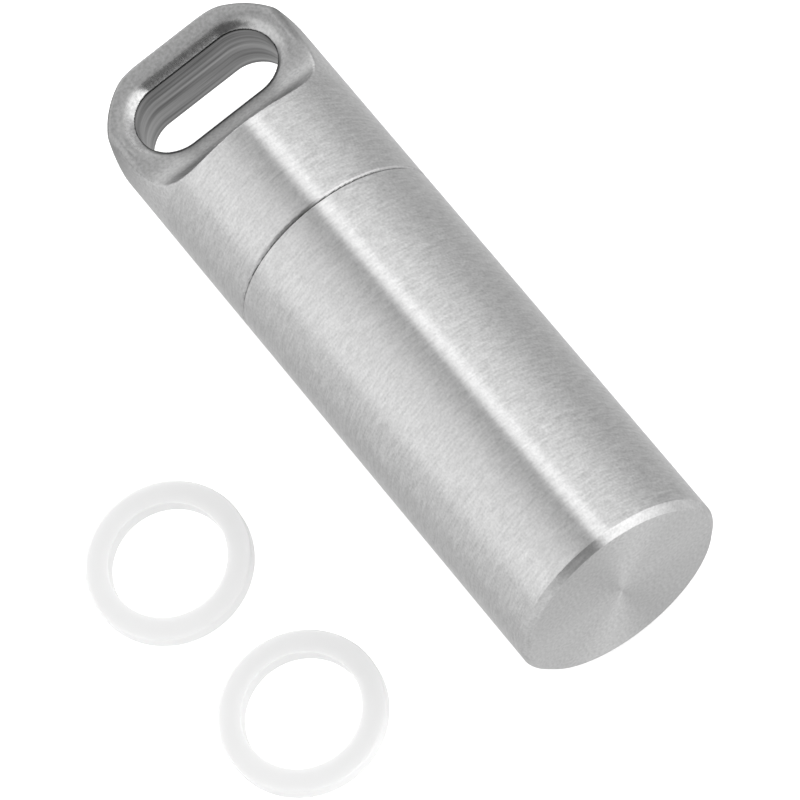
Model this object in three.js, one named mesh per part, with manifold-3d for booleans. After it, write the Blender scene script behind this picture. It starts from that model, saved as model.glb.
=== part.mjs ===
// Keychain capsule: a turned steel bottle with a screw cap, its sealing ring and two spare rings.
//
// Millimetres, +Z up. The capsule lies on its side along +X, the bottle's flat base at x = 0 and
// the slotted cap at the far end, with the cap's two flats facing +Z and -Z. The origin is the
// centre of the base face, so the surface that everything rests on is z = -bodyRadius.
import * as THREE from 'three';
import { mergeVertices } from 'three/addons/utils/BufferGeometryUtils.js';
import Module from 'manifold-3d';

const wasm = await Module();
wasm.setup();

// ---------------------------------------------------------------- driving dimensions
const bodyRadius = 8.5;          // outside of bottle and cap
const totalLength = 56;          // base face to the cap's end
const seamX = 35;                // where the cap meets the bottle's shoulder
const seamGap = 0.1;             // metal-to-metal faces, left just apart

const baseChamfer = 0.55;
const seamChamfer = 0.15;        // on both edges of the seam

const boreRadius = 5;            // the pill space
const boreBottomX = 5;           // end of the bore's straight wall
const drillPointDepth = 2;       // cone left by the drill

const neckLength = 6.4;          // stands out of the bottle's shoulder
const rimChamfer = 0.35;
const pitch = 1.5;               // right-hand thread
const maleRoot = 6.2;
const maleCrest = 6.9;
const crestHalfWidth = 0.17;     // axial, at the crest
const flankSlope = 0.5;          // axial half-width gained per mm towards the root
const threadClearance = 0.18;
const threadStart = 1.3;         // ridge's centre line, measured from the shoulder
const threadTurns = 2.6;

const cavityRadius = 6.4;        // the cap's socket, inside its thread
const cavityDepth = 8;           // from the seam to the socket's flat floor
const mouthChamfer = 0.8;

const ringOuter = 6.3;           // all three rings are alike
const ringInner = 4.5;
const ringThickness = 1.4;
const ringRounding = 0.45;       // on the outer edges
const ringGap = 0.1;             // seal to the socket's floor, and to the neck's rim

const tongueHalf = 3.5;          // the two flats are 7 mm apart
const shoulderX = seamX + 8.9;   // where the concave cut leaves the round
const shoulderRadius = 5.4;      // of the cut that runs from there down to each flat
const cornerRadius = 7.4;        // rounded ends of the tongue, seen square on to a flat
const cornerCentreX = 49.09;     // so the arcs meet the flat end at a slight angle
const cornerCentreY = 1.34;
const slotCentreX = 50.79;
const slotHalfWidth = 2.87;      // along the capsule
const slotHalfLength = 6.03;     // across the capsule, to the ends of its rounds

const spareRings = [             // where the loose rings lie, beside the bottle
  { name: 'spare_ring_1', x: 27.45, y: 23.55 },
  { name: 'spare_ring_2', x: 11.3, y: 22.85 },
];

const facets = 48;               // round the capsule, one of them facing straight down
const ringFacets = 32;
const threadSteps = 32;          // per turn
const cornerSteps = 8;           // per rounded corner or concave cut

// ---------------------------------------------------------------- solids
// A closed geometry as a manifold solid: positions only, shared corners merged, facing out.
function toSolid(geometry) {
  const bare = geometry.clone();
  bare.deleteAttribute('normal');
  bare.deleteAttribute('uv');
  const merged = mergeVertices(bare, 1e-5);
  const positions = merged.attributes.position;
  const corner = (i) => new THREE.Vector3().fromBufferAttribute(positions, i);
  const triangles = [];
  let volume = 0;
  for (let i = 0; i < merged.index.count; i += 3) {
    const [a, b, c] = [0, 1, 2].map((k) => merged.index.getX(i + k));
    if (a === b || b === c || c === a) continue;
    triangles.push([a, b, c]);
    volume += corner(a).dot(corner(b).cross(corner(c)));
  }
  const facingOut = volume > 0 ? triangles : triangles.map(([a, b, c]) => [a, c, b]);
  return new wasm.Manifold(new wasm.Mesh({
    numProp: 3,
    vertProperties: new Float32Array(positions.array),
    triVerts: new Uint32Array(facingOut.flat()),
  }));
}

function toGeometry(solid) {
  const mesh = solid.getMesh();
  const geometry = new THREE.BufferGeometry();
  geometry.setAttribute('position', new THREE.BufferAttribute(mesh.vertProperties, 3));
  geometry.setIndex(new THREE.BufferAttribute(mesh.triVerts, 1));
  geometry.computeVertexNormals();
  return geometry;
}

// A profile of [x, radius] pairs turned about the X axis. Its corners stand outside the round
// by the facets' own sag, so that the flat facets touch the true radius.
function turned(profile, count = facets) {
  const outward = 1 / Math.cos(Math.PI / count);
  const points = profile.map(([x, radius]) => new THREE.Vector2(radius * outward, x));
  const geometry = new THREE.LatheGeometry(points, count, Math.PI / count);
  return toSolid(geometry.rotateZ(-Math.PI / 2));
}

// An outline in the XY plane as a slab from z = low to z = high.
function slab(shape, low, high) {
  const options = { depth: high - low, bevelEnabled: false, curveSegments: cornerSteps };
  return toSolid(new THREE.ExtrudeGeometry(shape, options).translate(0, 0, low));
}

// A right-hand helical ridge about the X axis. Its ends run out over a quarter turn.
function helicalRidge({ startX, turns, inner, crest, extra }) {
  const runOut = 0.25;
  const steps = Math.round(turns * threadSteps);
  const positions = [];
  const indices = [];
  const phase = (seamX + threadStart) / pitch;
  for (let i = 0; i <= steps; i += 1) {
    const turn = (i / steps) * turns;
    const ramp = Math.min(1, turn / runOut, (turns - turn) / runOut);
    const x = startX + turn * pitch;
    const angle = (x / pitch - phase) * Math.PI * 2;
    const top = THREE.MathUtils.lerp(inner + 0.05, crest, ramp);
    const halfTop = crestHalfWidth + extra + (crest - extra - top) * flankSlope;
    const halfFoot = crestHalfWidth + extra + (crest - extra - inner) * flankSlope;
    const section = [[-halfFoot, inner], [-halfTop, top], [halfTop, top], [halfFoot, inner]];
    for (const [dx, radius] of section) {
      positions.push(x + dx, radius * Math.cos(angle), radius * Math.sin(angle));
    }
    if (i === steps) continue;
    for (let k = 0; k < 4; k += 1) {
      const [a, b] = [i * 4 + k, i * 4 + ((k + 1) % 4)];
      indices.push(a, b, b + 4, a, b + 4, a + 4);
    }
  }
  const last = steps * 4;
  indices.push(0, 2, 1, 0, 3, 2, last, last + 1, last + 2, last, last + 2, last + 3);
  const geometry = new THREE.BufferGeometry();
  geometry.setAttribute('position', new THREE.Float32BufferAttribute(positions, 3));
  geometry.setIndex(indices);
  return toSolid(geometry);
}

// ---------------------------------------------------------------- pieces
function bottle() {
  const rimX = seamX + neckLength;
  const turnedBody = turned([
    [0, 0],
    [0, bodyRadius - baseChamfer],
    [baseChamfer, bodyRadius],
    [seamX - seamChamfer, bodyRadius],
    [seamX, bodyRadius - seamChamfer],
    [seamX, maleRoot],
    [rimX - rimChamfer, maleRoot],
    [rimX, maleRoot - rimChamfer],
    [rimX, boreRadius],
    [boreBottomX, boreRadius],
    [boreBottomX - drillPointDepth, 0],
  ]);
  const thread = helicalRidge({
    startX: seamX + threadStart,
    turns: threadTurns,
    inner: maleRoot - 0.3,
    crest: maleCrest,
    extra: 0,
  });
  return turnedBody.add(thread);
}

// The tongue's outline seen square on to a flat, over the whole length of the cap.
function tonguePlan() {
  const wide = bodyRadius + 1;
  const centreX = cornerCentreX;
  const endAngle = Math.acos((totalLength - centreX) / cornerRadius);
  const sideAngle = Math.asin((bodyRadius + 0.1 - cornerCentreY) / cornerRadius);
  const shape = new THREE.Shape();
  shape.moveTo(seamX - 1, -wide);
  shape.lineTo(centreX, -wide);
  shape.absarc(centreX, -cornerCentreY, cornerRadius, -sideAngle, -endAngle, false);
  shape.absarc(centreX, cornerCentreY, cornerRadius, endAngle, sideAngle, false);
  shape.lineTo(centreX, wide);
  shape.lineTo(seamX - 1, wide);
  return shape;
}

// What a round cutter takes away above one flat: the flat itself, then the concave shoulder.
function flatCut(side) {
  const centreZ = tongueHalf + shoulderRadius;
  const tangentX = shoulderX + Math.sqrt(shoulderRadius ** 2 - (centreZ - bodyRadius) ** 2);
  const clear = bodyRadius + 1;
  const shape = new THREE.Shape();
  shape.moveTo(totalLength + 1, tongueHalf);
  shape.lineTo(totalLength + 1, clear);
  shape.lineTo(tangentX - shoulderRadius, clear);
  shape.lineTo(tangentX - shoulderRadius, centreZ);
  shape.absarc(tangentX, centreZ, shoulderRadius, Math.PI, Math.PI * 1.5, false);
  const options = { depth: 2 * clear, bevelEnabled: false, curveSegments: cornerSteps };
  const cut = new THREE.ExtrudeGeometry(shape, options).translate(0, 0, -clear);
  return toSolid(cut.rotateX(side * Math.PI / 2));
}

function slotOutline() {
  const roundY = slotHalfLength - slotHalfWidth;
  const shape = new THREE.Shape();
  shape.absarc(slotCentreX, roundY, slotHalfWidth, 0, Math.PI, false);
  shape.absarc(slotCentreX, -roundY, slotHalfWidth, Math.PI, Math.PI * 2, false);
  return shape;
}

function cap() {
  const openX = seamX + seamGap;
  const floorX = seamX + cavityDepth;
  const blank = turned([
    [openX, 0],
    [openX, bodyRadius - seamChamfer],
    [openX + seamChamfer, bodyRadius],
    [totalLength, bodyRadius],
    [totalLength, 0],
  ]);
  const socket = turned([
    [openX - 1, 0],
    [openX - 1, cavityRadius + mouthChamfer],
    [openX, cavityRadius + mouthChamfer],
    [openX + mouthChamfer, cavityRadius],
    [floorX, cavityRadius],
    [floorX, 0],
  ]);
  const groove = helicalRidge({
    startX: seamX + threadStart - 2 * pitch,
    turns: threadTurns + 2.9,
    inner: cavityRadius - 0.3,
    crest: maleCrest + threadClearance,
    extra: threadClearance,
  });
  return blank
    .intersect(slab(tonguePlan(), -bodyRadius - 1, bodyRadius + 1))
    .subtract(flatCut(1))
    .subtract(flatCut(-1))
    .subtract(slab(slotOutline(), -bodyRadius, bodyRadius))
    .subtract(socket.add(groove));
}

// A flat washer along the X axis from x = 0, its two outer edges rounded.
function sealingRing() {
  const soft = ringRounding * (1 - Math.SQRT1_2);
  return turned([
    [0, ringInner],
    [0, ringOuter - ringRounding],
    [soft, ringOuter - soft],
    [ringRounding, ringOuter],
    [ringThickness - ringRounding, ringOuter],
    [ringThickness - soft, ringOuter - soft],
    [ringThickness, ringOuter - ringRounding],
    [ringThickness, ringInner],
    [0, ringInner],
  ], ringFacets);
}

// ---------------------------------------------------------------- materials and scene graph
const steel = { color: 0xb8b9bb, roughness: 0.3, metalness: 1 };
const silicone = { color: 0xeef0f0, roughness: 0.5, metalness: 0 };

function piece(name, solid, finish) {
  const mesh = new THREE.Mesh(toGeometry(solid), new THREE.MeshStandardMaterial(finish));
  mesh.name = name;
  return mesh;
}

const capsule = new THREE.Group();
capsule.add(piece('bottle', bottle(), steel));
capsule.add(piece('screw_cap', cap(), steel));

const capSeal = piece('cap_seal_ring', sealingRing(), silicone);
capSeal.position.x = seamX + cavityDepth - ringGap - ringThickness;
capsule.add(capSeal);

for (const { name, x, y } of spareRings) {
  const ring = piece(name, sealingRing(), silicone);
  ring.rotation.y = -Math.PI / 2;
  ring.position.set(x, y, -bodyRadius);
  capsule.add(ring);
}

export default capsule;
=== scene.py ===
"""Looks of the keychain capsule: smooth turned steel, tumbled tongue, white silicone rings.

Every piece is built from the same few driving sizes as the CAD model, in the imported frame:
+X runs along the capsule from its base at x = 0, +Z is up, and lengths below are millimetres
until a mesh is made, which is in metres.
"""
import math

import bpy
import numpy as np
from mathutils import Matrix, Vector


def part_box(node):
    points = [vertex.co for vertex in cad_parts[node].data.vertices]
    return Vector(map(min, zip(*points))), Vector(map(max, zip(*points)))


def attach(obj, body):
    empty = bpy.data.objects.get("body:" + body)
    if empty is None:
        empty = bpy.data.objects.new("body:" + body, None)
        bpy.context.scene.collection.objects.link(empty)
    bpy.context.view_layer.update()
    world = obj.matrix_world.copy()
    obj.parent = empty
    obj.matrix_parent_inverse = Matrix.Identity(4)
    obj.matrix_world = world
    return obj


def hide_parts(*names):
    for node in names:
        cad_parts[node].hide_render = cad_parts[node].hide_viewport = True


MM = 0.001
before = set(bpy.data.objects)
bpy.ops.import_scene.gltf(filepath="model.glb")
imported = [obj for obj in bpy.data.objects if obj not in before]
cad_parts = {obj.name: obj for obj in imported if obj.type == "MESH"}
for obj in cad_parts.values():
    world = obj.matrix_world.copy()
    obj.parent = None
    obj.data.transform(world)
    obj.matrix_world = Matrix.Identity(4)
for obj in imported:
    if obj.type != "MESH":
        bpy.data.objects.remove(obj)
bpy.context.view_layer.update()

# ---------------------------------------------------------------- sizes taken from the frame
CAP_LOW, CAP_HIGH = (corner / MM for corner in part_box("screw_cap"))
BOTTLE_LOW, BOTTLE_HIGH = (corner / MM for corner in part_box("bottle"))
SEAL_LOW, SEAL_HIGH = (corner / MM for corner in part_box("cap_seal_ring"))

BODY_RADIUS = -BOTTLE_LOW.z
TOTAL_LENGTH = CAP_HIGH.x
SEAM_GAP = 0.1
SEAM_X = CAP_LOW.x - SEAM_GAP
RIM_X = BOTTLE_HIGH.x
RING_OUTER = SEAL_HIGH.z
RING_THICKNESS = SEAL_HIGH.x - SEAL_LOW.x

# ---------------------------------------------------------------- the other driving sizes
BASE_CHAMFER = 0.55
MOUTH_EDGE = 0.16                # chamfer round the cap's open end
SEAM_EDGE = 0.06                 # and on the bottle's shoulder that meets it
EDGE_BREAK = 0.05                # softened corners of the turned chamfers
FINE_BREAK = 0.02                # and of the seam

BORE_RADIUS = 5.0
BORE_BOTTOM_X = 5.0
DRILL_POINT = 2.0
BORE_CORNER = 0.3
RIM_CHAMFER = 0.35
RIM_EDGE = 0.1

PITCH = 1.5
MALE_ROOT = 6.2
MALE_CREST = 6.9
CREST_HALF_WIDTH = 0.17
FLANK_SLOPE = 0.5
THREAD_CLEARANCE = 0.18
THREAD_START = 1.3
THREAD_TURNS = 2.6
GROOVE_TURNS = 5.5               # the cap's groove is longer, to let the thread in
GROOVE_LEAD = 2                  # and starts this many turns nearer its mouth
RUN_OUT_TURNS = 0.25
NECK_PLAIN_START = 0.3           # lengths of the neck that the thread leaves free
NECK_PLAIN_END = 0.1
NECK_STEPS = 150

CAVITY_RADIUS = 6.4
CAVITY_FLOOR_X = SEAM_X + 8.0
MOUTH_CHAMFER = 0.8

RING_INNER = 4.5
RING_ROUNDING = 0.22             # the sealing rings' outer edges...
RING_HOLE_EDGE = 0.06            # ...and inner ones

TONGUE_HALF = 3.5
SHOULDER_X = SEAM_X + 8.9        # where the concave cut leaves the round
SHOULDER_RADIUS = 5.4
CORNER_RADIUS = 7.4
CORNER_CENTRE_X = 49.09
CORNER_CENTRE_Y = 1.34
SLOT_CENTRE_X = 50.79
SLOT_HALF_WIDTH = 2.87
SLOT_HALF_LENGTH = 6.03

SHOULDER_EDGE = 0.1              # crisp at the top of the shoulder...
SIDE_EDGE = 0.6                  # ...tumbled round along the tongue's sides...
END_EDGE = 0.45                  # ...and less so at its end
TUMBLED_FROM_X = SHOULDER_X + 2.8  # the crisp edge widens from here...
TUMBLED_BY_X = SHOULDER_X + 6.0  # ...to here
END_EDGE_FROM = 2.5              # and changes again this far in from the tongue's end...
END_EDGE_BY = 0.8                # ...to this far in
OUTLINE_EDGE = 0.12              # where the tongue's outline is cut from the round
OUTLINE_BLEND = 0.4              # where its end runs into its corners
SLOT_EDGE = 0.06                 # where the slot's rim meets its wall
SLOT_RIM_WIDTH = 0.5             # the slot's eased rim, on its far side and ends...
SLOT_RIM_NARROW = 0.18           # ...and beside the shoulder
SLOT_RIM_SLOPE = math.radians(50)
SLOT_RIM_BLEND = 0.65            # radius that leads from the flat into the rim
SLOT_RIM_REACH = 1.6             # the rim's slope stops this far from the slot's wall

CAP_CELL = 0.157                 # spacing of the cap's mesh
TURNED_SIDES = 256
RING_SIDES = 160
SHARP_ANGLE = math.radians(40)
THREAD_FIELD_SCALE = 0.8         # keeps the field's slope near 1 on the thread's flanks
LEAST_SLOPE_SQUARED = 0.05       # keeps the steps short where the field is nearly flat

# ---------------------------------------------------------------- where each finish is
BASE_FACE_DEPTH = 0.02           # the bottle is faced this near its base
MILLED_REACH = 0.15              # the slot is milled this near its wall...
MILLED_RISE = 0.5                # ...where the normal's Z is less than this
TURNED_DEPTH = 0.02              # the cap is turned this near its round...
TURNED_END_X = SHOULDER_X + 0.8  # ...up to here...
SOCKET_MARGIN = 0.05             # ...and in its socket, to this far past the floor

# The tumbled steel changes look in three places, and each change fades out between two values.
POLISHED_WIDTH = (0.5, 1.0)      # distance from the slot's wall: polished by the key ring
POLISHED_END_Y = (-SLOT_HALF_LENGTH - 3.0, -SLOT_HALF_LENGTH / 2)
SLOT_SHADE_WIDTH = (0.2, 0.4)     # distance from the slot's wall: painted shade, a dark edge beside the shoulder
TURNED_LOOK_DEPTH = 0.05         # distance in from the round: looks turned...
FULL_LOOK_DEPTH = 0.01           # ...and fully so this near it
MINUS_Y_SIDE_EXTRA = 0.2            # the look goes further in on the cap's -Y side...
MINUS_Y_SIDE_RANGE = (4.0, 7.0)         # ...away from the axis
ROUND_FADES_X = (SHOULDER_X + 2.5, SHOULDER_X + 9.0)
SHOULDER_PAINTED_LIGHT = 0.3              # painted light: how far the shoulder and the flat beside it take the turned look's lighter grey
SHOULDER_FADES_X = (SHOULDER_X + 2.0, SHOULDER_X + 4.5)

NOISE_DETAIL = 4.0
ROUGHNESS_SPREAD = 0.15          # how much the marks change a steel's roughness

# ---------------------------------------------------------------- the view
VIEW_TILT = math.radians(25.9)   # how far the camera leans from square-on towards the base end
VIEW_SIDE = math.radians(4.5)    # and round the axis, towards the rings
VIEW_ROLL = math.radians(40.02)  # the axis against the picture's upright
VIEW_DISTANCE = 578.4
VIEW_CENTRE_X = 25.66
VIEW_SENSOR = 36
VIEW_LENS = 358.9                # a long lens, as for a product picture
VIEW_AIM = (-0.94, 4.23)         # picture's centre, right of and below that point of the axis

# ---------------------------------------------------------------- the light tent
BRIGHTEST = 3.0
FLOOR_GLOW = 0.45                # a lit table: keeps the floor pale round the capsule
FLOOR_HALF_SIZE = 3.0            # metres, like the next
FLOOR_GAP = 0.00002
# Each band is (degrees round the axis from straight up, brightness there).
BASE_AXIS_BANDS = [(-180, 0.9), (180, 0.9)]
BASE_END_BANDS = [
    (-180, 0.9), (-140, 0.9), (-116, 1.3), (-98, 1.2), (-88, 0.95), (-65, 0.75), (-47, 0.42),
    (-25, 0.15), (12, 0.13), (18, 2.6), (75, 2.6), (100, 1.9), (150, 1.4), (165, 0.9), (180, 0.9),
]
NEAR_BANDS = [                   # dark where the camera stands
    (-180, 0.95), (-125, 0.95), (-116, 1.1), (-80, 1.0), (-50, 0.95), (-43, 0.2), (12, 0.12),
    (16, 1.9), (70, 1.8), (95, 1.2), (130, 1.2), (150, 0.95), (180, 0.95),
]
MIDDLE_BANDS = [
    (-180, 0.85), (-134, 0.85), (-116, 1.0), (-90, 1.2), (-80, 1.27), (-76, 1.62), (-58, 1.65),
    (-44, 1.66), (-36, 1.68), (-28, 1.6), (-20, 1.4), (-12, 1.14), (-4, 0.92), (6.5, 0.64),
    (9, 2.1), (19, 2.25), (24, 1.25), (35, 1.14), (52, 1.0), (61, 0.85), (71, 0.77), (81, 0.74),
    (93, 0.72), (125, 0.75), (141, 0.9), (180, 0.85),
]
CAP_END_BANDS = [
    (-180, 0.25), (-120, 0.25), (-100, 1.4), (100, 1.4), (120, 0.25), (180, 0.25),
]
CAP_AXIS_BANDS = [(-180, 1.9), (180, 1.9)]
LIGHT_ZONES = [                  # between which parts of +X each zone takes over from the last
    ((-0.97, -0.93), BASE_END_BANDS),
    ((-0.75, -0.55), NEAR_BANDS),
    ((-0.3, 0.0), MIDDLE_BANDS),
    ((0.65, 0.85), CAP_END_BANDS),
    ((0.92, 0.97), CAP_AXIS_BANDS),
]


# ================================================================ mesh making
def new_object(name, points_mm, faces, material):
    """A smooth-shaded mesh object in the scene, from points in millimetres."""
    mesh = bpy.data.meshes.new(name)
    mesh.from_pydata((np.asarray(points_mm) * MM).tolist(), [], faces)
    mesh.validate()
    mesh.shade_smooth()
    mesh.materials.append(material)
    obj = bpy.data.objects.new(name, mesh)
    bpy.context.scene.collection.objects.link(obj)
    return obj


def eased(corners, steps=5):
    """A profile whose corners are (x, radius, ease): each ease > 0 becomes a smooth curve."""
    profile = []
    for i, (x, radius, ease) in enumerate(corners):
        here = np.array([x, radius])
        if ease == 0:
            profile.append(here)
            continue
        before = np.array(corners[i - 1][:2]) - here
        after = np.array(corners[(i + 1) % len(corners)][:2]) - here
        start = here + before / np.linalg.norm(before) * ease
        end = here + after / np.linalg.norm(after) * ease
        for t in np.linspace(0, 1, steps + 1):
            profile.append((1 - t) ** 2 * start + 2 * t * (1 - t) * here + t * t * end)
    return np.array(profile)


def turned(name, profile, material, sides=TURNED_SIDES, bump=None, closed=False):
    """Turns an (x, radius) profile about the X axis. bump(x, angle) adds to the radius."""
    angles = np.arange(sides) * 2 * math.pi / sides
    points = []
    for x, radius in profile:
        rise = bump(x, angles) if bump is not None and radius > 0 else 0.0
        around = radius + rise * np.ones(sides)
        across, up = around * np.cos(angles), around * np.sin(angles)
        ring = np.column_stack([np.full(sides, x), across, up])
        points.append(ring if radius > 0 else ring[:1])
    starts = np.cumsum([0] + [len(ring) for ring in points])
    faces = []
    last = len(points) if closed else len(points) - 1
    for k in range(last):
        a, b = starts[k], starts[(k + 1) % len(points)]
        size_a, size_b = len(points[k]), len(points[(k + 1) % len(points)])
        for i in range(sides):
            j = (i + 1) % sides
            if size_a == 1:
                faces.append((a, b + j, b + i))
            elif size_b == 1:
                faces.append((a + i, a + j, b))
            else:
                faces.append((a + i, a + j, b + j, b + i))
    obj = new_object(name, np.vstack(points), faces, material)
    obj.data.set_sharp_from_angle(angle=SHARP_ANGLE)
    weighted = obj.modifiers.new("weighted_normals", "WEIGHTED_NORMAL")
    weighted.keep_sharp = True
    return obj


# ---------------------------------------------------------------- thread
def ridge_height(x, angle, start_x, turns, low, crest, half_width):
    """Height above `low` of a right-hand helical ridge, at x along and angle round the axis."""
    phase = (SEAM_X + THREAD_START) / PITCH + angle / (2 * math.pi)
    index = np.round(x / PITCH - phase)
    centre = (index + phase) * PITCH
    turn = (centre - start_x) / PITCH
    ramp = np.clip(np.minimum(turn, turns - turn) / RUN_OUT_TURNS, 0, 1)
    flank = (crest - low) * FLANK_SLOPE
    rise = np.clip((half_width + flank - np.abs(x - centre)) / flank, 0, 1)
    return np.minimum(rise * (crest - low), ramp * (crest - low))


def male_thread(x, angle):
    """The bottle's thread, above the neck's root."""
    return ridge_height(x, angle, SEAM_X + THREAD_START, THREAD_TURNS,
                        MALE_ROOT, MALE_CREST, CREST_HALF_WIDTH)


def female_groove(x, angle):
    """The cap's thread, cut into its socket's wall: the same ridge with clearance."""
    return ridge_height(x, angle, SEAM_X + THREAD_START - GROOVE_LEAD * PITCH, GROOVE_TURNS,
                        CAVITY_RADIUS, MALE_CREST + THREAD_CLEARANCE,
                        CREST_HALF_WIDTH + THREAD_CLEARANCE)


# ---------------------------------------------------------------- solids as distance fields
def round_both(a, b, radius):
    """Inside both a and b, with their common edge rounded."""
    over = np.hypot(np.maximum(radius + a, 0), np.maximum(radius + b, 0))
    return np.minimum(-radius, np.maximum(a, b)) + over


def ease_both(a, b, width):
    """Inside both a and b, which meet at a shallow angle, with that corner eased."""
    return np.maximum(a, b) + np.maximum(width - np.abs(a - b), 0) ** 2 / (4 * width)


def smooth_step(value, low, high):
    """0 up to low, 1 from high on, and a smooth rise between them."""
    t = np.clip((value - low) / (high - low), 0, 1)
    return t * t * (3 - 2 * t)


def from_slot(x, y):
    """Distance outwards from the slot's wall, as seen from above; negative inside the slot."""
    along_slot = np.maximum(np.abs(y) - (SLOT_HALF_LENGTH - SLOT_HALF_WIDTH), 0)
    return np.hypot(x - SLOT_CENTRE_X, along_slot) - SLOT_HALF_WIDTH


def away_from_shoulder(x):
    """0 along the slot's side nearest the shoulder, 1 from the slot's middle on."""
    return smooth_step(x, SLOT_CENTRE_X - SLOT_HALF_WIDTH, SLOT_CENTRE_X)


def cap_round(x, radius):
    """The turned outside of the cap, with the small chamfer round its mouth."""
    mouth = CAP_LOW.x - x
    chamfered = (mouth + radius - (BODY_RADIUS - MOUTH_EDGE)) * math.sqrt(0.5)
    return np.maximum(round_both(radius - BODY_RADIUS, mouth, FINE_BREAK), chamfered)


def tongue_outline(x, y):
    """The tongue's rounded end, as seen from above."""
    corner_x = x - CORNER_CENTRE_X
    corner_y = np.maximum(np.abs(y) - CORNER_CENTRE_Y, 0)
    corners = np.hypot(np.maximum(corner_x, 0), corner_y) + np.minimum(corner_x, 0) / 2
    return ease_both(x - TOTAL_LENGTH, corners - CORNER_RADIUS, OUTLINE_BLEND)


def flat_cutter(x, z):
    """What is milled away above and below the tongue, with a round corner at the shoulder."""
    centre_z = TONGUE_HALF + SHOULDER_RADIUS
    run = math.sqrt(SHOULDER_RADIUS ** 2 - (centre_z - BODY_RADIUS) ** 2)
    beside_x = SHOULDER_X + run - x
    beside_z = centre_z - np.abs(z)
    corner = np.hypot(np.maximum(beside_x, 0), np.maximum(beside_z, 0))
    return corner + np.minimum(np.maximum(beside_x, beside_z), 0) - SHOULDER_RADIUS


def slot_rim(x, z, slot):
    """The slope that eases the slot's edge, at the distance `slot` from the slot's wall."""
    rim_width = SLOT_RIM_NARROW + (SLOT_RIM_WIDTH - SLOT_RIM_NARROW) * away_from_shoulder(x)
    above_flat = (np.abs(z) - TONGUE_HALF) * math.cos(SLOT_RIM_SLOPE)
    rim = above_flat - (slot - rim_width) * math.sin(SLOT_RIM_SLOPE)
    return np.minimum(rim, 2 * (SLOT_RIM_REACH - slot))


def cap_socket(x, radius, angle):
    """The threaded hole that the bottle's neck screws into."""
    lead_in = np.maximum(MOUTH_CHAMFER - np.maximum(x - CAP_LOW.x, 0), 0)
    wall = CAVITY_RADIUS + np.maximum(female_groove(x, angle), lead_in)
    return np.maximum((radius - wall) * THREAD_FIELD_SCALE, x - CAVITY_FLOOR_X)


def cap_field(points):
    """Signed distance, roughly, to the cap's surface; negative in the metal."""
    x, y, z = points[..., 0], points[..., 1], points[..., 2]
    radius = np.hypot(y, z)
    outline = tongue_outline(x, y)
    slot = from_slot(x, y)

    past_shoulder = smooth_step(x, TUMBLED_FROM_X, TUMBLED_BY_X)
    near_end = smooth_step(outline, -END_EDGE_FROM, -END_EDGE_BY)
    tumbled = SHOULDER_EDGE + (SIDE_EDGE - SHOULDER_EDGE) * past_shoulder
    tumbled = tumbled + (END_EDGE - SIDE_EDGE) * near_end

    metal = round_both(cap_round(x, radius), outline, OUTLINE_EDGE)
    metal = round_both(metal, -flat_cutter(x, z), tumbled)
    metal = round_both(metal, slot_rim(x, z, slot), SLOT_RIM_BLEND)
    metal = round_both(metal, -slot, SLOT_EDGE)
    return np.maximum(metal, -cap_socket(x, radius, np.arctan2(z, y)))


def gradient(field, points, step=0.01):
    """How fast the field rises along each axis, at each point."""
    slopes = []
    for axis in range(3):
        shift = np.zeros(3)
        shift[axis] = step
        slopes.append((field(points + shift) - field(points - shift)) / (2 * step))
    return np.stack(slopes, -1)


def onto_surface(field, points, rounds=4):
    """Moves the points to where the field is zero."""
    for _ in range(rounds):
        slope = gradient(field, points)
        size = np.maximum((slope ** 2).sum(-1, keepdims=True), LEAST_SLOPE_SQUARED)
        step = field(points)[..., None] * slope / size
        points = points - np.clip(step, -CAP_CELL, CAP_CELL)
    return points


def surface_net(field, low, high, cell):
    """Quads over the field's zero surface: one point in each crossed cell of a regular grid."""
    counts = np.ceil((high - low) / cell).astype(int) + 1
    axes = [low[k] + cell * np.arange(counts[k]) for k in range(3)]
    inside = np.stack([field(np.stack(np.meshgrid([x], axes[1], axes[2], indexing="ij"), -1))[0]
                       for x in axes[0]]) < 0
    last = counts - 1
    total = sum(inside[i:last[0] + i, j:last[1] + j, k:last[2] + k].astype(np.int8)
                for i in (0, 1) for j in (0, 1) for k in (0, 1))
    crossed = (total > 0) & (total < 8)
    number = np.full(crossed.shape, -1)
    number[crossed] = np.arange(crossed.sum())
    points = low + (np.argwhere(crossed) + 0.5) * cell

    faces = []
    for axis in range(3):
        one, two = [k for k in range(3) if k != axis]
        here = inside[tuple(slice(None, -1) if k == axis else slice(1, -1) for k in range(3))]
        there = inside[tuple(slice(1, None) if k == axis else slice(1, -1) for k in range(3))]
        for leaving in (True, False):
            edges = np.argwhere((here != there) & (here == leaving))
            edges[:, one] += 1
            edges[:, two] += 1
            corners = []
            for back_one, back_two in ((1, 1), (0, 1), (0, 0), (1, 0)):
                cells = edges.copy()
                cells[:, one] -= back_one
                cells[:, two] -= back_two
                corners.append(number[tuple(cells.T)])
            quads = np.stack(corners, 1)
            turn_over = leaving == (axis == 1)
            faces.append(quads[:, ::-1] if turn_over else quads)
    return points, np.vstack(faces)


def even_out(field, points, faces, rounds=3):
    """Slides the points along the surface until the quads are even."""
    for _ in range(rounds):
        total = np.zeros_like(points)
        count = np.zeros(len(points))
        middle = points[faces].mean(1)
        for k in range(4):
            np.add.at(total, faces[:, k], middle)
            np.add.at(count, faces[:, k], 1)
        points = onto_surface(field, 0.5 * points + 0.5 * total / count[:, None], rounds=2)
    return points


# ================================================================ materials
def material_nodes(name):
    """A new material, with its tree's nodes and links and its shader."""
    material = bpy.data.materials.new(name)
    material.use_nodes = True
    nodes, links = material.node_tree.nodes, material.node_tree.links
    return material, nodes, links, nodes["Principled BSDF"]


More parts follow.
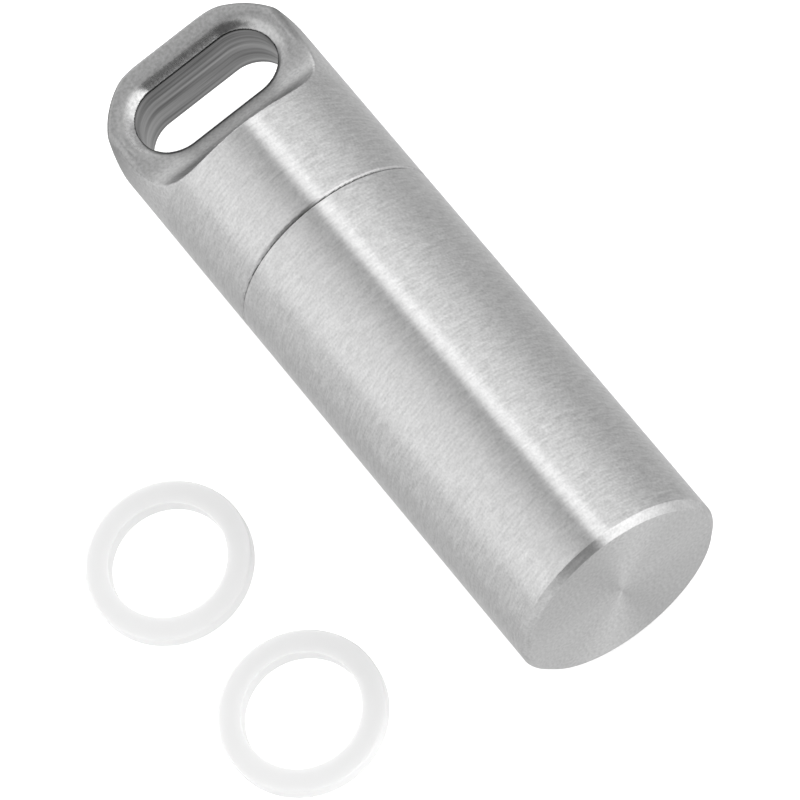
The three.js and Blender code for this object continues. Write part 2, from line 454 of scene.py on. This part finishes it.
def maths(nodes, links, operation, *values):
    """A Math node's result; each value is a number or another node's output."""
    node = nodes.new("ShaderNodeMath")
    node.operation = operation
    for socket, value in zip(node.inputs, values):
        if isinstance(value, (int, float)):
            socket.default_value = value
        else:
            links.new(value, socket)
    return node.outputs[0]


def blended(nodes, links, factor, first, second):
    """A number that goes from first to second as factor goes from 0 to 1."""
    return maths(nodes, links, "MULTIPLY_ADD", factor,
                 maths(nodes, links, "SUBTRACT", second, first), first)


def stretched_noise(nodes, links, scale):
    """Noise in object space, with its own scale along each axis (per metre)."""
    place = nodes.new("ShaderNodeTexCoord")
    stretch = nodes.new("ShaderNodeVectorMath")
    stretch.operation = "MULTIPLY"
    stretch.inputs[1].default_value = scale
    noise = nodes.new("ShaderNodeTexNoise")
    noise.inputs["Scale"].default_value = 1.0
    noise.inputs["Detail"].default_value = NOISE_DETAIL
    links.new(place.outputs["Object"], stretch.inputs[0])
    links.new(stretch.outputs[0], noise.inputs["Vector"])
    return noise.outputs["Fac"]


def steel(name, grey, roughness, grains, depth, mottle, anisotropy=0.0, wear_and_shade=()):
    """Bare steel.

    grains are noise scales along each axis, averaged: the larger ones run across the marks.
    depth is the marks' height in millimetres, and mottle how much they change the tone.
    The last argument lists (attribute, grey, roughness): what the steel becomes where the attribute
    is 1; real wear and finishes, and also painted light and shade.
    """
    material, nodes, links, shader = material_nodes(name)
    shader.inputs["Metallic"].default_value = 1.0
    if anisotropy:
        shader.inputs["Anisotropic"].default_value = anisotropy
        shader.inputs["Anisotropic Rotation"].default_value = 0.25
        tangent = nodes.new("ShaderNodeTangent")
        tangent.direction_type = "RADIAL"
        tangent.axis = "X"
        links.new(tangent.outputs[0], shader.inputs["Tangent"])

    marks = stretched_noise(nodes, links, grains[0])
    for grain in grains[1:]:
        both = maths(nodes, links, "ADD", marks, stretched_noise(nodes, links, grain))
        marks = maths(nodes, links, "MULTIPLY", both, 0.5)
    centred = maths(nodes, links, "SUBTRACT", marks, 0.5)
    shade = maths(nodes, links, "MULTIPLY_ADD", centred, mottle, 1.0)
    rough = maths(nodes, links, "MULTIPLY_ADD", centred, ROUGHNESS_SPREAD, roughness)
    level = grey
    # each attribute blends in a finish, real wear, painted light or painted shade
    for attribute, masked_grey, masked_roughness in wear_and_shade:
        mask_node = nodes.new("ShaderNodeAttribute")
        mask_node.attribute_name = attribute
        level = blended(nodes, links, mask_node.outputs["Fac"], level, masked_grey)
        rough = blended(nodes, links, mask_node.outputs["Fac"], rough, masked_roughness)
    tone = maths(nodes, links, "MULTIPLY", shade, level)
    links.new(tone, shader.inputs["Base Color"])
    links.new(rough, shader.inputs["Roughness"])

    bump = nodes.new("ShaderNodeBump")
    bump.inputs["Strength"].default_value = 1.0
    bump.inputs["Distance"].default_value = depth * MM
    links.new(marks, bump.inputs["Height"])
    links.new(bump.outputs[0], shader.inputs["Normal"])
    return material


def silicone():
    material, _, _, shader = material_nodes("white_silicone")
    shader.inputs["Base Color"].default_value = (0.74, 0.74, 0.74, 1)
    shader.inputs["Roughness"].default_value = 0.42
    shader.inputs["IOR"].default_value = 1.41
    shader.inputs["Subsurface Weight"].default_value = 0.6
    shader.inputs["Subsurface Radius"].default_value = (1.0, 1.0, 1.0)
    shader.inputs["Subsurface Scale"].default_value = 0.0008
    return material


# ================================================================ pieces
def make_bottle(turned_steel, faced):
    thread_from = SEAM_X + NECK_PLAIN_START
    thread_to = RIM_X - RIM_CHAMFER - NECK_PLAIN_END
    neck = [(x, MALE_ROOT, 0) for x in np.linspace(thread_from, thread_to, NECK_STEPS)]
    corners = [
        (0, 0, 0),
        (0, BODY_RADIUS - BASE_CHAMFER, EDGE_BREAK),
        (BASE_CHAMFER, BODY_RADIUS, EDGE_BREAK),
        (SEAM_X - SEAM_EDGE, BODY_RADIUS, FINE_BREAK),
        (SEAM_X, BODY_RADIUS - SEAM_EDGE, FINE_BREAK),
        (SEAM_X, MALE_ROOT, 0),
        *neck,
        (RIM_X - RIM_CHAMFER, MALE_ROOT, EDGE_BREAK),
        (RIM_X, MALE_ROOT - RIM_CHAMFER, EDGE_BREAK),
        (RIM_X, BORE_RADIUS, RIM_EDGE),
        (BORE_BOTTOM_X, BORE_RADIUS, BORE_CORNER),
        (BORE_BOTTOM_X - DRILL_POINT, 0, 0),
    ]

    def thread(x, angles):
        return male_thread(x, angles) if thread_from < x < thread_to else 0.0

    bottle = turned("bottle_smooth", eased(corners), turned_steel, bump=thread)
    bottle.data.materials.append(faced)
    for polygon in bottle.data.polygons:
        polygon.material_index = int(polygon.center.x < BASE_FACE_DEPTH * MM)
    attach(bottle, "bottle")
    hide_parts("bottle")


def cap_finish(centres, normals):
    """Which finish each face of the cap has: 0 turned, 1 tumbled, 2 milled inside the slot."""
    x, y, z = centres.T
    radius = np.hypot(y, z)
    upright = np.abs(normals[:, 2]) < MILLED_RISE
    in_slot = upright & (from_slot(x, y) < MILLED_REACH) & (radius < BODY_RADIUS)
    on_round = (radius > BODY_RADIUS - TURNED_DEPTH) & (x < TURNED_END_X)
    in_socket = x < CAVITY_FLOOR_X + SOCKET_MARGIN
    return np.where(in_slot, 2, np.where(on_round | in_socket, 0, 1))


def edge_polish(points):
    """How far the slot's rim is polished bright by the key ring: 1 on it, except at its -Y end."""
    x, y, _ = points.T
    near_wall = 1 - smooth_step(from_slot(x, y), *POLISHED_WIDTH)
    return smooth_step(y, *POLISHED_END_Y) * away_from_shoulder(x) * near_wall


def painted_slot_shade(points):
    """Painted shade along the slot's edge, standing in for the thin shadow line there: 1 on it, but
    only beside the shoulder.
    """
    x, y, _ = points.T
    near_wall = 1 - smooth_step(from_slot(x, y), *SLOT_SHADE_WIDTH)
    return (1 - away_from_shoulder(x)) * near_wall


def turned_look_and_painted_light(points):
    """How far the tumbled steel looks turned, and how far it is made lighter as painted light.

    Fully on the round before the tongue and over the edge on its -Y side; a little on the shoulder
    and the flat beside it, where the lighter grey is painted light.
    """
    x, y, z = points.T
    depth = TURNED_LOOK_DEPTH + MINUS_Y_SIDE_EXTRA * smooth_step(-y, *MINUS_Y_SIDE_RANGE)
    on_round = smooth_step(np.hypot(y, z), BODY_RADIUS - depth, BODY_RADIUS - FULL_LOOK_DEPTH)
    before_tongue = on_round * (1 - smooth_step(x, *ROUND_FADES_X))
    # painted light: lightens the shoulder and the start of the flat beside it
    on_shoulder = SHOULDER_PAINTED_LIGHT * (1 - smooth_step(x, *SHOULDER_FADES_X))
    return np.maximum(before_tongue, on_shoulder)


def make_cap(turned_steel, tumbled, milled):
    margin = 3 * CAP_CELL
    low = np.array(CAP_LOW) - margin
    high = np.array(CAP_HIGH) + margin
    points, faces = surface_net(cap_field, low, high, CAP_CELL)
    points = even_out(cap_field, onto_surface(cap_field, points), faces)
    cap = new_object("screw_cap_smooth", points, faces.tolist(), turned_steel)
    normals = gradient(cap_field, points)
    normals /= np.linalg.norm(normals, axis=1, keepdims=True)
    cap.data.normals_split_custom_set_from_vertices(normals.tolist())
    for finish in (tumbled, milled):
        cap.data.materials.append(finish)
    finishes = cap_finish(points[faces].mean(1), normals[faces].mean(1))
    cap.data.polygons.foreach_set("material_index", finishes.astype(np.int32))
    # attributes: the turned look (painted light on the shoulder), polish from the key ring, and
    # painted shade along the slot's edge
    for wear_and_shade in (turned_look_and_painted_light, edge_polish, painted_slot_shade):
        attribute = cap.data.attributes.new(wear_and_shade.__name__, "FLOAT", "POINT")
        attribute.data.foreach_set("value", wear_and_shade(points).astype(np.float32))
    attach(cap, "cap")
    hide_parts("screw_cap")


def ring_mesh(name, material):
    """A sealing ring about the X axis, from x = 0."""
    corners = [
        (0, RING_INNER, RING_HOLE_EDGE),
        (0, RING_OUTER, RING_ROUNDING),
        (RING_THICKNESS, RING_OUTER, RING_ROUNDING),
        (RING_THICKNESS, RING_INNER, RING_HOLE_EDGE),
    ]
    return turned(name, eased(corners, steps=8), material, sides=RING_SIDES, closed=True)


def make_rings(material):
    seal = ring_mesh("cap_seal_ring_smooth", material)
    seal.data.transform(Matrix.Translation((SEAL_LOW.x * MM, 0, 0)))
    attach(seal, "cap_seal")
    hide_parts("cap_seal_ring")
    for number in (1, 2):
        node = f"spare_ring_{number}"
        low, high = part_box(node)
        ring = ring_mesh(node + "_smooth", material)
        upright = Matrix.Rotation(-math.pi / 2, 4, "Y")
        centre = Vector(((low.x + high.x) / 2, (low.y + high.y) / 2, low.z))
        ring.data.transform(Matrix.Translation(centre) @ upright)
        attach(ring, f"loose_ring_{number}")
        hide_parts(node)


# ================================================================ stage, light and camera
def view_axes():
    """The picture's right, down and towards-the-camera directions, square on to the axis point."""
    tilt_sin, tilt_cos = math.sin(VIEW_TILT), math.cos(VIEW_TILT)
    side_sin, side_cos = math.sin(VIEW_SIDE), math.cos(VIEW_SIDE)
    towards = Vector((-tilt_sin, tilt_cos * side_sin, tilt_cos * side_cos))
    to_base = Vector((-tilt_cos, -tilt_sin * side_sin, -tilt_sin * side_cos))
    across = Vector((0, -side_cos, side_sin))
    right = to_base * math.sin(VIEW_ROLL) + across * math.cos(VIEW_ROLL)
    down = to_base * math.cos(VIEW_ROLL) - across * math.sin(VIEW_ROLL)
    return right, down, towards


def make_camera():
    right, down, towards = view_axes()
    centre = Vector((VIEW_CENTRE_X, 0, 0))
    place = centre + towards * VIEW_DISTANCE
    aim = centre + right * VIEW_AIM[0] + down * VIEW_AIM[1]
    back = (place - aim).normalized()
    side = (-down).cross(back).normalized()
    up = back.cross(side)
    data = bpy.data.cameras.new("photo_view")
    data.lens = VIEW_LENS
    data.sensor_width = VIEW_SENSOR
    data.clip_start = 0.01
    data.clip_end = 20
    camera = bpy.data.objects.new("photo_view", data)
    turn = Matrix((side, up, back)).transposed().to_4x4()
    camera.matrix_world = Matrix.Translation(place * MM) @ turn
    bpy.context.scene.collection.objects.link(camera)
    bpy.context.scene.camera = camera


def make_floor():
    size = FLOOR_HALF_SIZE
    z = -BODY_RADIUS * MM - FLOOR_GAP
    corners = [(-size, -size, z), (size, -size, z), (size, size, z), (-size, size, z)]
    mesh = bpy.data.meshes.new("floor")
    mesh.from_pydata(corners, [], [(0, 1, 2, 3)])
    floor = bpy.data.objects.new("floor", mesh)
    material, _, _, shader = material_nodes("pale_floor")
    shader.inputs["Base Color"].default_value = (0.95, 0.95, 0.95, 1)
    shader.inputs["Roughness"].default_value = 0.9
    shader.inputs["Specular IOR Level"].default_value = 0.0
    shader.inputs["Emission Color"].default_value = (1, 1, 1, 1)
    shader.inputs["Emission Strength"].default_value = FLOOR_GLOW
    mesh.materials.append(material)
    bpy.context.scene.collection.objects.link(floor)
    floor.visible_glossy = False


def band_ramp(nodes, links, around, bands):
    """Brightness all round the axis, with a soft change from each band to the next."""
    ramp = nodes.new("ShaderNodeValToRGB")
    stops = ramp.color_ramp.elements
    for index, (degrees, brightness) in enumerate(bands):
        stop = stops[index] if index < 2 else stops.new(1.0)
        stop.position = degrees / 360 + 0.5
        stop.color = (brightness / BRIGHTEST,) * 3 + (1,)
    links.new(around, ramp.inputs[0])
    return ramp.outputs[0]


def fade(nodes, links, value, limits):
    """A smooth rise from 0 to 1 as the value goes from one limit to the other."""
    node = nodes.new("ShaderNodeMapRange")
    node.interpolation_type = "SMOOTHSTEP"
    node.inputs["From Min"].default_value = limits[0]
    node.inputs["From Max"].default_value = limits[1]
    links.new(value, node.inputs["Value"])
    return node.outputs[0]


def mixed(nodes, links, factor, first, second):
    """A colour that goes from first to second as factor goes from 0 to 1."""
    node = nodes.new("ShaderNodeMix")
    node.data_type = "RGBA"
    links.new(factor, node.inputs[0])
    links.new(first, node.inputs[6])
    links.new(second, node.inputs[7])
    return node.outputs[2]


def make_lights():
    """A light tent: soft bands of light parallel to the capsule, in zones along it."""
    world = bpy.data.worlds.new("studio")
    world.use_nodes = True
    nodes, links = world.node_tree.nodes, world.node_tree.links
    shader = nodes["Background"]
    place = nodes.new("ShaderNodeTexCoord")
    split = nodes.new("ShaderNodeSeparateXYZ")
    links.new(place.outputs["Generated"], split.inputs[0])
    sideways = maths(nodes, links, "MULTIPLY", split.outputs["Y"], -1.0)
    bearing = maths(nodes, links, "ARCTAN2", sideways, split.outputs["Z"])
    around = maths(nodes, links, "MULTIPLY_ADD", bearing, 0.5 / math.pi, 0.5)

    light = band_ramp(nodes, links, around, BASE_AXIS_BANDS)
    for limits, bands in LIGHT_ZONES:
        taken_over = fade(nodes, links, split.outputs["X"], limits)
        light = mixed(nodes, links, taken_over, light, band_ramp(nodes, links, around, bands))
    links.new(light, shader.inputs[0])
    shader.inputs[1].default_value = BRIGHTEST
    bpy.context.scene.world = world
    bpy.context.scene.view_settings.view_transform = "Standard"


# ================================================================ the scene
make_camera()
make_floor()
make_lights()

turned_steel = steel(
    "turned_steel", grey=0.52, roughness=0.34, grains=[(5000, 900, 900), (5600, 5600, 5600)],
    depth=0.003, mottle=1.25, anisotropy=1.0,
)
faced_steel = steel(
    "faced_steel", grey=0.52, roughness=0.40, grains=[(4000, 4000, 4000)],
    depth=0.003, mottle=0.7, anisotropy=0.8,
)
tumbled_steel = steel(
    "tumbled_steel", grey=0.265, roughness=0.38, grains=[(4200, 4200, 4200)],
    depth=0.004, mottle=0.8,
    # the grey of 0.05 on the slot's edge is painted shade
    # the turned look's grey on the shoulder is painted light
    wear_and_shade=[("turned_look_and_painted_light", 0.50, 0.34), ("edge_polish", 0.46, 0.20), ("painted_slot_shade", 0.05, 0.36)],
)
milled_steel = steel(
    "milled_steel", grey=0.17, roughness=0.36, grains=[(60, 60, 1500)],
    depth=0.05, mottle=4.4,
)
white_silicone = silicone()

make_bottle(turned_steel, faced_steel)
make_cap(turned_steel, tumbled_steel, milled_steel)
make_rings(white_silicone)
